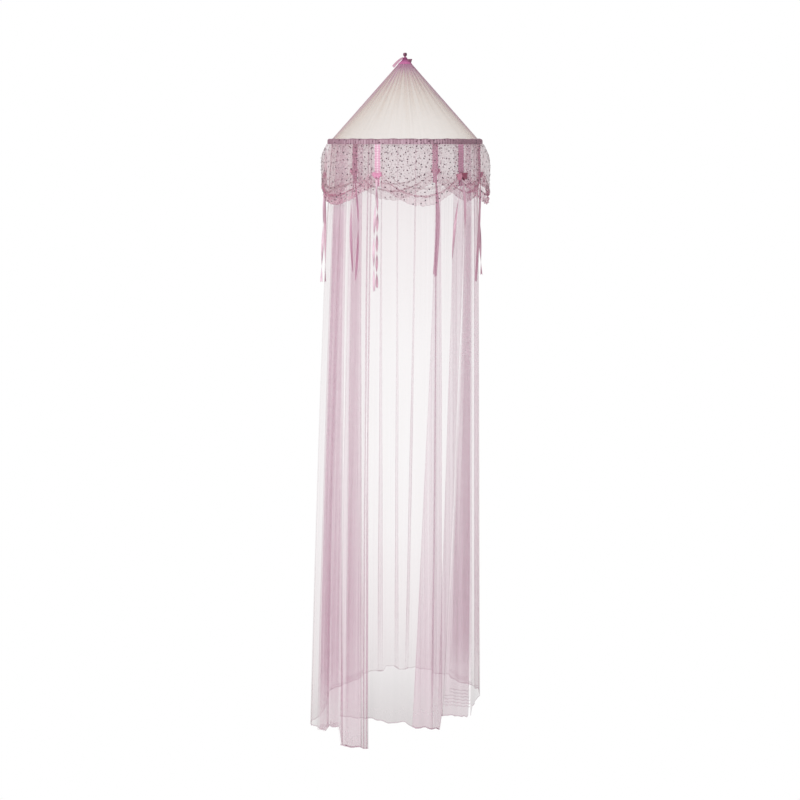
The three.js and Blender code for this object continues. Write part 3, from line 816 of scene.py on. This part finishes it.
# Sewn-on sequins, scattered with no two closer than their pitch
def makeSequins(index, rng):
    place, span = swagPlace(index, sequins["standOff"])
    bm = bmesh.new()
    taken = []
    margin = sequins["margin"]
    for _ in range(sequins["tries"]):
        u, v = rng.uniform(margin, 1 - margin), rng.uniform(margin, 1 - sequins["hemMargin"])
        spot = place(u, v)[0]
        if any((spot - other).length < sequins["pitch"] for other in taken):
            continue
        taken.append(spot)
        tilt = Vector([rng.uniform(-1, 1) for _ in range(3)]) * sequins["tilt"]
        facing = Vector((spot.x, spot.y, 0)).normalized() + tilt
        disc = bmesh.ops.create_cone(bm, cap_ends=True, segments=8, radius1=sequins["radius"],
                                     radius2=sequins["radius"] * sequins["rim"],
                                     depth=sequins["cup"])["verts"]
        turned = facing.to_track_quat("Z", "Y")
        for vert in disc:
            vert.co = turned @ vert.co + spot
    finishPiece(bm, f"swag_sequins_{index + 1}", finishes["sequin"], "crown", "glitter_net")


# Straps: two ribbons drawn up over the net, with a ladder of small ruches between them
strap = {
    "ruches": 17,
    "ruche": 1.3 * mm,
    "rucheRows": 8,
    "columns": 28,
    "aboveGather": 2 * mm,
    "ribbonProud": 1.3 * mm,
    "ribbonAt": 0.24,
    "ribbonSpread": 0.09,
    "bulge": 1.5 * mm,
    "stray": 1.2 * mm,
    "waist": 0.25,  # narrower at its foot
    "wall": 0.5 * mm,
    "mapLength": 0.25,
    "flatLength": 0.23,
    "edgeWave": 0.09,
    "edgeStray": 0.12,
    "widths": [25 * mm, 30 * mm, 27 * mm, 27 * mm, 27 * mm, 22 * mm],
    # painted light and shade: a lit copy on the front strap, a shaded copy on straps 2 and 3, a lightened
    # copy on the other three
    "finishes": ["litRibbon", "shadedRibbon", "shadedRibbon", "litMauveRibbon", "litMauveRibbon", "litMauveRibbon"],
}


def makeStrap(index):
    turn = strapTurns[index]
    bottom = hoopHeight - valance["gatherDrop"] + strap["aboveGather"]
    ribbons = (strap["ribbonAt"], 1 - strap["ribbonAt"])

    def place(u, v):
        ruche = abs(math.sin(math.pi * strap["ruches"] * v)) ** 0.7
        proud = sum(math.exp(-((u - at) / strap["ribbonSpread"]) ** 2) for at in ribbons)
        radius = strapRadius + strap["ruche"] * (2 * ruche - 1) * (1 - 0.5 * proud)
        radius += strap["ribbonProud"] * proud
        radius += strap["stray"] * waver(6 * v, index) + strap["bulge"] * math.sin(math.pi * v)
        wide = strap["widths"][index] * (1 + strap["edgeWave"] * math.cos(fullTurn * strap["ruches"] * v))
        wide *= 1 + strap["edgeStray"] * waver(45 * v, index)
        wide *= 1 - strap["waist"] * easeBetween(0.6, 0.8, v)
        spot = onCrown(turn + (u - 0.5) * wide / strapRadius, radius, between(valanceTop, bottom, v))
        return spot, 1.0, 0.0, proud

    piece = makeSheet(f"ruched_strap_{index + 1}", strap["columns"], strap["ruches"] * strap["rucheRows"],
                      place, (strap["widths"][index], strap["mapLength"]),
                      finishes[strap["finishes"][index]], "crown", "satin",
                      replaces=[f"gather_strap_{index + 1}"], wall=strap["wall"])


rng = random.Random(sequins["seed"])
for index in range(6):
    makeStrap(index)
    makeSwag(index)
    makeSequins(index, rng)
print("stage: the valance is drawn up")

# Bows and their tails, in a frame that faces out from the crown at each strap
bow = {
    "drop": 136 * mm,  # below the rod's centre
    "loopLength": 21 * mm,
    "loopDepth": 11 * mm,
    "loopHeight": 18 * mm,
    "droops": [-6, 36],  # degrees, of the upper and the lower loop
    "lengths": [1, 0.8],
    "hangs": [(0, 0), (26, 20), (0, 0), (0, 0), (0, 0), (0, 0)],  # degrees lower, of the upper loops
    "unevenDroop": 9,
    # painted light: the left loops take the wine bow's paler colour, as if lit from the left
    "leftLight": 0.8,  # shows on the bow whose left half is paler
    "raise": [8 * mm, 9 * mm, 4 * mm, 12 * mm, 12 * mm, 4 * mm],
    "pinch": 0.42,
    "knot": 5 * mm,
    "knotHeight": 1.35,
    "ribbonWall": 0.6 * mm,
    "edgeCurl": 0.6 * mm,
    "loopMap": 44 * mm,
    "knotMap": (30 * mm, 14 * mm),
    "forward": 2.5 * mm,
    "scales": [0.9, 1.4, 0.85, 0.95, 0.95, 0.7],
    # painted light: a lit copy on bows 4 and 5, which hang in shade behind the valance
    "finishes": ["bowRibbon", "wineBow", "bowRibbon", "litBowRibbon", "litBowRibbon", "bowRibbon"],
}


def bowFrame(index):
    turn = strapTurns[index]
    middle = onCrown(turn, knotRadius, hoopHeight - bow["drop"])

    def toCrown(point):
        return middle + Vector((point.x * math.cos(turn) - point.y * math.sin(turn),
                                point.x * math.sin(turn) + point.y * math.cos(turn), point.z))

    return toCrown


def makeBow(index):
    toCrown = bowFrame(index)
    size = bow["scales"][index]
    bm = bmesh.new()
    lift = Vector((0, 0, bow["raise"][index]))
    for side, tier in ((-1, 0), (1, 0), (-1, 1), (1, 1)):
        hang = bow["hangs"][index][side > 0] * (1 - tier)
        hang += bow["unevenDroop"] * waver(5.0 * index + side + 3 * tier)
        droop = math.radians(bow["droops"][tier] + hang)
        # painted light on the left loops
        tone = bow["leftLight"] * (side < 0)

        def path(share, side=side, droop=droop, length=bow["lengths"][tier]):
            angle = fullTurn * share
            reach = (1 - math.cos(angle)) / 2
            x = bow["loopLength"] * size * reach * length
            y = -bow["forward"] - bow["loopDepth"] / 2 * math.sin(angle) * (0.4 + 0.6 * reach)
            return Vector((side * x * math.cos(droop), y, -x * math.sin(droop)))

        def width(share):
            reach = (1 - math.cos(fullTurn * share)) / 2
            return bow["loopHeight"] * size * between(bow["pinch"], 1, reach ** 0.8)

        def across(share, side=side, droop=droop):
            return Vector((side * math.sin(droop), 0, math.cos(droop)))

        inner = ribbonPlace(path, across, width, bow["edgeCurl"])
        addGrid(bm, 8, 44, lambda u, v: (toCrown(inner(u, v)[0] + lift), 1.0, 0.0, tone),
                (bow["loopHeight"], bow["loopMap"]))

    def knotSpot(u, v):
        turn = fullTurn * u
        lean = between(-0.5, 0.5, v) * math.pi
        crease = 1 + 0.07 * math.sin(6 * turn + 3 * v) * math.cos(lean)
        radius = bow["knot"] * math.cos(lean) ** 0.6 * crease
        height = -bow["knot"] * bow["knotHeight"] * math.sin(lean)
        return toCrown(lift + onCrown(turn, radius, height)), *plainCloth

    addGrid(bm, 24, 12, knotSpot, bow["knotMap"])
    finishPiece(bm, f"satin_bow_{index + 1}", finishes[bow["finishes"][index]], "crown", "satin",
                replaces=[f"bow_{index + 1}"], closeSeam=True, wall=bow["ribbonWall"])


tails = {
    "length": 430 * mm,
    "standOff": 20 * mm,
    "width": 10 * mm,
    "spacings": [4 * mm, 10.9 * mm, 6 * mm, 8 * mm, 10.9 * mm, 10.9 * mm],
    "pinch": 0.4,
    "opens": 0.35,
    "wall": 0.45 * mm,
    "edgeCurl": 0.4 * mm,
    "ruffle": 1.2 * mm,
    "notch": 0.014,  # of its length, cut out of its swallow-tailed end
    "slack": 1.02,
    "lengthShares": [[1, 0.97], [0.71, 0.53], [1, 0.93], [0.99, 0.97], [1.02, 0.93], [0.97, 0.96]],
    "leanShares": [[-0.01, 0.0], [-0.15, -0.02], [0.1, 0.02], [0.02, 0.02], [-0.03, -0.02], [0.1, 0.18]],
    "outShares": [[1, 0.6], [1, 1], [-0.1, 0.6], [0.6, 0.7], [1, 1], [0.9, 0.1]],
    "swayShares": [[-0.01, 0.0], [-0.01, 0.02], [-0.02, 0.03], [-0.03, -0.03], [-0.04, 0.02], [-0.08, 0.01]],
    "twists": [[1.7, -2.6], [0.6, -0.4], [0.3, 1.1], [0.02, -0.02], [-0.8, 0.6], [1.2, -0.6]],
    # painted light and shade: each tail wears a lit or a shaded copy of the ribbon
    "finishes": [["litRibbon", "ribbon"], ["ribbon", "ribbon"], ["ribbon", "ribbon"],
                 ["litRibbon", "litRibbon"], ["litMauveRibbon", "litMauveRibbon"], ["litRibbon", "ribbon"]],
}


def makeTail(index, side):
    toCrown = bowFrame(index)
    name = ("left", "right")[side]
    length = tails["length"] * tails["lengthShares"][index][side]
    lean = tails["length"] * tails["leanShares"][index][side]
    sway = tails["length"] * tails["swayShares"][index][side]
    twist = fullTurn * tails["twists"][index][side]
    top = knotPlaces[index].z - (hoopHeight - bow["drop"])

    def spread(share):
        return between(tails["pinch"], 1, easeBetween(0, tails["opens"], share))

    def path(share):
        x = (1 if side else -1) * spread(share) * tails["spacings"][index] / 2
        x += lean * share + sway * math.sin(math.pi * share)
        x += tails["ruffle"] * math.sin(7 * share + index) * share
        out = tails["standOff"] * tails["outShares"][index][side] * share ** 0.8
        return Vector((x, -out, top - length * share))

    def across(share):
        angle = twist * share ** 1.1
        return Vector((math.cos(angle), math.sin(angle), 0))

    inner = ribbonPlace(path, across, lambda share: tails["width"] * spread(share), tails["edgeCurl"])

    def place(u, v):
        cut = 1 - tails["notch"] * (1 - abs(2 * u - 1)) * v
        return toCrown(inner(u, v * cut)[0]), *plainCloth

    piece = makeSheet(f"satin_tail_{name}_{index + 1}", 6, 150, place, (tails["width"], length),
                      finishes[tails["finishes"][index][side]], f"ribbons_{index + 1}", "satin",
                      replaces=[f"ribbon_tail_{name}_{index + 1}"], wall=tails["wall"])


for index in range(6):
    makeBow(index)
    for side in (0, 1):
        makeTail(index, side)
print("stage: the bows are tied")

# Curtain. Each width runs from one seam to the next, turning clockwise round the crown. In each of its
# bands the cloth doubles back on itself, layer behind layer, and between bands it hangs flat.
curtain = {
    "names": ["front_left", "back_left", "back_right", "front_right"],
    # in degrees round the crown, at the casing and at the hem
    "seams": [(-25.1, -22.5), (-105.1, -105.1), (-215.4, -213), (-292.2, -294), (-406, -406)],
    "bands": [
        # first edge at the casing and hem, last edge at the casing and hem, folds, plies in a layer,
        # how far the first layer's hem and each next one's is drawn up
        [(-25.8, -23.2, -26.6, -24.2, 1, 1.9, 0, 0),
         (-28.2, -25.0, -29.0, -26.0, 1, 1.9, 0, 0),
         (-33.8, -27.0, -43.2, -41.4, 2, 0.9, 0, 0),
         (-48.5, -40.6, -55.6, -51.6, 2, 1.25, 0, 5 * mm),
         (-55.2, -51.2, -66.2, -62.0, 2, 1.4, 0, 6 * mm)],
        [(-109.3, -116.4, -124.6, -135.5, 1, 0.8, 0, 12 * mm),
         (-133.8, -136.5, -143.6, -150.8, 2, 0.85, 0, 8 * mm),
         (-160.9, -161.0, -161.6, -164.8, 1, 1.1, 0, 0),
         (-173.9, -172.9, -174.6, -175.8, 1, 1.0, 0, 0),
         (-188.9, -180.2, -189.7, -182.8, 1, 1.3, 0, 0)],
        [(-240.3, -217.0, -247.8, -244.2, 2, 0.7, 0, 9 * mm),
         (-254.2, -252.2, -263.3, -263.9, 1, 1.8, 0, 9 * mm)],
        [(-297.2, -301.0, -305.4, -332.0, 3, 0.82, 45 * mm, 13 * mm),
         (-306.0, -332.4, -319.3, -337.4, 1, 1.5, 0, 0),
         (-332.4, -333.0, -335.0, -355.2, 1, 1.45, 0, 0),
         (-335.6, -340.6, -336.5, -342.5, 1, 1.8, 0, 0)],
    ],
    "frontStand": 14 * mm,  # the left edge laps over the right one at the front
    "frontLap": (46, 70),  # it falls back between these turns
    "backStand": -20 * mm,
    "backLap": (364, 392),
    "topStand": 1 * mm,
    "tuck": 4 * mm,  # up into the casing
    "layerGap": (1.2 * mm, 3.0 * mm),  # between layers of a band, at the casing and the hem
    "stray": 0.2,  # how far a fold's edge lies inside its band's
    "turnZone": 5 * mm,  # of cloth on each side of a fold's edge
    "edgeSoft": 0.2,  # degrees over which a band's edge fades
    "meanFlare": 1.1,  # of the hoop's radius, where the cloth is measured
    "rowCrowding": 1.15,
    "ripple": (1 * mm, 6 * mm),
    "ripples": 0.24,  # in a degree
    "gather": 1.3 * mm,
    "gatherPitch": 14 * mm,
    "gatherEnd": 0.3,
    "wander": 0.35,  # degrees that an edge strays on its way down
    "flare": (62 * mm, 43 * mm, -5 * mm),  # all round, more to the left, less at both sides
    "flarePower": 0.75,
    "length": 2335 * mm,
    "hemWave": 4 * mm,
    # how far the hem hangs below the level one, by turn
    "hemTurns": [-24, -41.5, -43, -50, -55, -62, -70, -80, -90, -108, -116, -124, -135, -145, -156, -165,
                 -167, -172, -176, -180, -183, -200, -203, -215, -230, -270, -292, -299, -301, -330, -333.5,
                 -335, -338, -346, -353, -360, -371, -381, -406],
    "hemDrops": [76, 88, 14, 18, 52, 57, 68, 88, 108, 130, 120, 42, 34, 22, -8, -4,
                 -27, -27, -10, -8, -21, -23, -5, -15, 0, -39, -33, -26, 14, -36, -38,
                 18, 10, -2, -1, -31, -29, -38, -22],
    "hemHeight": 4.5 * mm,
    "hemLift": 0.5 * mm,
    "hemCloth": (2.2, 0, 1),  # plies, painted shade veil and tone
    "opensFrom": 0.88,  # the folds fall open from here to the hem
    "openPlies": 1.1,
    # painted shade: how thick the grey veil lies on the way down, at the back and at the front, thickest at
    # the front hem
    "veilStops": [0, 0.16, 0.35, 0.52, 0.66, 0.75, 0.83, 0.91, 1],
    "frontVeil": [2.6, 1.3, 0.2, 0.1, 0.6, 1.9, 3.2, 5.2, 10.0],
    "backVeil": [2.2, 0.8, 0.2, 0.1, 0.2, 0.3, 0.3, 0.3, 0.3],
    "veilAtSides": 0.6,
    "lapFrom": -383,  # the right edge's part that lies behind the left edge
    "veilInLap": 0.1,
    # how thick the cloth of a band lies on its way down
    "bandStops": [0, 0.08, 0.15, 0.28, 0.41, 0.54, 0.67, 0.80, 0.887, 0.965, 1],
    "bandPlies": [0.5, 0.65, 1.1, 0.95, 1.0, 1.05, 1.15, 1.2, 1.1, 0.85, 0.7],
    "panelPlies": 0.85,
    "edgePlies": 2.2,  # the cloth is pressed together where it turns back
    "streaks": (0.12, 0.42),  # how uneven its thickness is on a panel and in a band
    "streakTurns": 2.2,
    "columnPitch": 2.4 * mm,
    "rows": 72,
    "flatWidth": 1.2,
}


# A width's folded edges in order: turn at the casing and the hem, layer before and after, hem before and
# after, and the band that the cloth leaves there
def foldedEdges(width):
    edges = [(*curtain["seams"][width], 0, 0, 0, 0, -1)]
    for band, row in enumerate(curtain["bands"][width]):
        firstTop, firstHem, lastTop, lastHem, folds, _, drawnUp, step = row
        hems = [drawnUp + step * layer for layer in range(2 * folds)] + [0]
        for layer in range(2 * folds):
            inside = curtain["stray"] * (1 + math.sin(5.1 * layer + firstHem)) / 2
            inside = 0 if layer in (0, 2 * folds - 1) else inside
            share = inside if layer % 2 else 1 - inside
            edges.append((between(firstTop, lastTop, share), between(firstHem, lastHem, share),
                          folds - layer, folds - layer - 1, hems[layer], hems[layer + 1],
                          band if layer == 2 * folds - 1 else -1))
    edges.append((*curtain["seams"][width + 1], 0, 0, 0, 0, -1))
    return edges


def curtainPlace(width, lift=0.0):
    edges = foldedEdges(width)
    degree = math.radians(hoopRadius * curtain["meanFlare"])
    stops = [0.0]
    for one, other in zip(edges, edges[1:]):
        turns = (abs(one[0] - other[0]) + abs(one[1] - other[1])) / 2
        stops.append(stops[-1] + degree * turns + curtain["turnZone"])
    topRadius = hoopRadius - (casingHigh.x - hoopRadius) + curtain["topStand"]
    start = casingLow.z + curtain["tuck"]
    soft = curtain["edgeSoft"]
    hemTurns = [-turn for turn in curtain["hemTurns"]]
    legs = {}

    def findLeg(u):
        # which two edges the cloth lies between, how far along, and how its layer and hem stand there
        cloth = u * stops[-1]
        index = next(k for k in range(len(edges) - 1) if cloth <= stops[k + 1] + 1e-9)
        one, other = edges[index], edges[index + 1]
        length = stops[index + 1] - stops[index]
        t = (cloth - stops[index]) / length
        zone = min(curtain["turnZone"] / length, 0.49)
        speed = 1 / (1 - zone)
        near = min(t, 1 - t)
        eased = speed * near * near / (2 * zone) if near < zone else speed * (near - zone / 2)
        along = eased if t < 0.5 else 1 - eased
        layer = between(one[3], other[2], t)
        edge = one if t < 0.5 else other
        layer = between((edge[2] + edge[3]) / 2, layer, easeBetween(0, zone, near))
        drawnUp = between(one[5], other[4], easeBetween(0.2, 0.3, t))
        drawnUp = between((edge[4] + edge[5]) / 2, drawnUp, easeBetween(0, zone, near))
        atEdge = (1 - easeBetween(0, zone, near)) * (0 < index + (t > 0.5) < len(edges) - 1)
        turns = between(one[0], other[0], along), between(one[1], other[1], along)
        return cloth, *turns, layer, drawnUp, atEdge, one[6]

    def place(u, v):
        if u not in legs:
            legs[u] = findLeg(u)
        cloth, top, hem, layer, drawnUp, atEdge, left = legs[u]
        share = v ** curtain["rowCrowding"]
        turn = between(top, hem, share)
        plies, hangs, tone = curtain["panelPlies"], 1.0, 0.0
        fade = readTable(curtain["bandStops"], curtain["bandPlies"], share)
        for band, row in enumerate(curtain["bands"][width]):
            firstTop, firstHem, lastTop, lastHem, folds, bandPlies = row[:6]
            first, last = between(firstTop, firstHem, share), between(lastTop, lastHem, share)
            inside = easeBetween(-soft, soft, turn - last) * easeBetween(-soft, soft, first - turn)
            plies = between(plies, bandPlies * fade, inside)
            passed = easeBetween(0.3, 0.5, first - turn) * easeBetween(-soft, soft, turn - last)
            hangs = between(hangs, 1 if left >= band else 0, passed)
            tone = max(tone, inside)
        opened = easeBetween(curtain["opensFrom"], 1, share)
        streak = waver(curtain["streakTurns"] * turn, 1.7 + 0.5 * share) * between(*curtain["streaks"], tone)
        plies *= 1 + streak + curtain["edgePlies"] * atEdge * (1 - opened)
        plies = between(plies, between(0.5 * plies, curtain["openPlies"], hangs), opened)
        tone *= 1 - 0.4 * opened
        spread = share ** 0.5
        rippled = waver(curtain["ripples"] * turn, 2.0 + 0.6 * share) * between(*curtain["ripple"], spread)
        gathered = math.sin(fullTurn * cloth / curtain["gatherPitch"] + 2 * waver(9 * cloth / 0.1, 1.0))
        rippled += curtain["gather"] * gathered * max(1 - share / curtain["gatherEnd"], 0)
        turn += curtain["wander"] * waver(5 * share + 0.9 * top, 3.0) * math.sin(math.pi * share)
        allRound, toLeft, atSides = curtain["flare"]
        sideways = math.sin(math.radians(turn))
        flare = (allRound - toLeft * sideways - atSides * sideways ** 2) * share ** curtain["flarePower"]
        stand = curtain["frontStand"] * (1 - easeBetween(*curtain["frontLap"], -turn))
        stand += curtain["backStand"] * easeBetween(*curtain["backLap"], -turn)
        radius = topRadius + flare + rippled + layer * between(*curtain["layerGap"], spread)
        radius += stand * share
        drop = readTable(hemTurns, curtain["hemDrops"], -turn) * mm
        drop += curtain["hemWave"] * waver(0.3 * turn, 7.0)
        height = between(start, hoopHeight - curtain["length"] - drop + drawnUp, share)
        # painted shade: the grey veil is thicker at the front, thinner at the sides and in the lap
        towardsFront = easeBetween(-0.5, 0.5, math.cos(math.radians(turn)))
        veil = between(readTable(curtain["veilStops"], curtain["backVeil"], share),
                       readTable(curtain["veilStops"], curtain["frontVeil"], share), towardsFront)
        veil *= hangs * between(1, curtain["veilAtSides"], abs(sideways) ** 3)
        veil *= between(1, curtain["veilInLap"], easeBetween(0, 4, curtain["lapFrom"] - turn))
        return onCrown(math.radians(turn), radius + lift, height), plies, veil, tone

    return place, stops[-1]


def makeCurtain(width):
    name = curtain["names"][width]
    place, cloth = curtainPlace(width)
    columns = int(cloth / curtain["columnPitch"])
    piece = makeSheet(f"net_curtain_{name}", columns, curtain["rows"], place,
                      (curtain["flatWidth"], curtain["length"]), finishes["curtainNet"], "crown", "net",
                      replaces=[f"curtain_{name}"])
    outside, _ = curtainPlace(width, curtain["hemLift"])
    hem = makeHem(f"curtain_hem_{name}", columns, 1, outside, curtain["hemHeight"], curtain["length"],
                  curtain["flatWidth"], curtain["hemCloth"], "net")


for width in range(4):
    makeCurtain(width)
print("stage: the curtain hangs")

# Floor, light and a white surround
studio = {
    "floor": -2.86,
    "floorSize": 40.0,
    "floorColour": "#F4F2F2",
    "surround": 0.6,
    "key": (-3.0, -3.6, 1.2),
    "keySize": 2.6,
    "keyPower": 110,
    "fill": (2.2, -4.2, -1.8),
    "fillSize": 3.0,
    "fillPower": 30,
    "passes": 128,
}


def seenDirectly(tree):
    rays = addNode(tree, "LightPath")
    glossy = addNode(tree, "Math", {"operation": "MAXIMUM"},
                     {0: rays.outputs["Is Camera Ray"], 1: rays.outputs["Is Glossy Ray"]})
    return addNode(tree, "Math", {"operation": "MAXIMUM"},
                   {0: glossy, 1: rays.outputs["Is Transmission Ray"]})


def makeStudio():
    bm = bmesh.new()
    bmesh.ops.create_grid(bm, x_segments=1, y_segments=1, size=studio["floorSize"] / 2)
    mesh = bpy.data.meshes.new("studio_floor")
    bm.to_mesh(mesh)
    bm.free()
    for vert in mesh.vertices:
        vert.co.z = studio["floor"]
    floor = bpy.data.objects.new("studio_floor", mesh)
    bpy.context.scene.collection.objects.link(floor)

    material, tree = startMaterial("painted studio floor")
    matt = addNode(tree, "BsdfDiffuse", {"Color": linearColour(studio["floorColour"])})
    glow = addNode(tree, "Emission", {"Color": (1, 1, 1, 1), "Strength": 1.0})
    mixed = addNode(tree, "MixShader", {}, {0: seenDirectly(tree), 1: matt, 2: glow})
    addNode(tree, "OutputMaterial", {}, {"Surface": mixed})
    mesh.materials.append(material)

    world = bpy.data.worlds.new("studio")
    world.use_nodes = True
    world.node_tree.nodes.clear()
    tree = world.node_tree
    plain = addNode(tree, "Background", {"Color": (1, 1, 1, 1), "Strength": studio["surround"]})
    white = addNode(tree, "Background", {"Color": (1, 1, 1, 1), "Strength": 1.0})
    mixed = addNode(tree, "MixShader", {}, {0: seenDirectly(tree), 1: plain, 2: white})
    addNode(tree, "OutputWorld", {}, {"Surface": mixed})
    bpy.context.scene.world = world

    for name in ("key", "fill"):
        data = bpy.data.lights.new(name, "AREA")
        data.shape = "DISK"
        data.size = studio[name + "Size"]
        data.energy = studio[name + "Power"]
        lamp = bpy.data.objects.new(name, data)
        lamp.location = studio[name]
        aim = Vector((0, 0, hoopHeight)) - lamp.location
        lamp.rotation_euler = aim.to_track_quat("-Z", "Y").to_euler()
        bpy.context.scene.collection.objects.link(lamp)

    bpy.context.scene.view_settings.view_transform = "Standard"
    bpy.context.scene.cycles.transparent_max_bounces = studio["passes"]


makeStudio()
print("stage: the studio is lit")
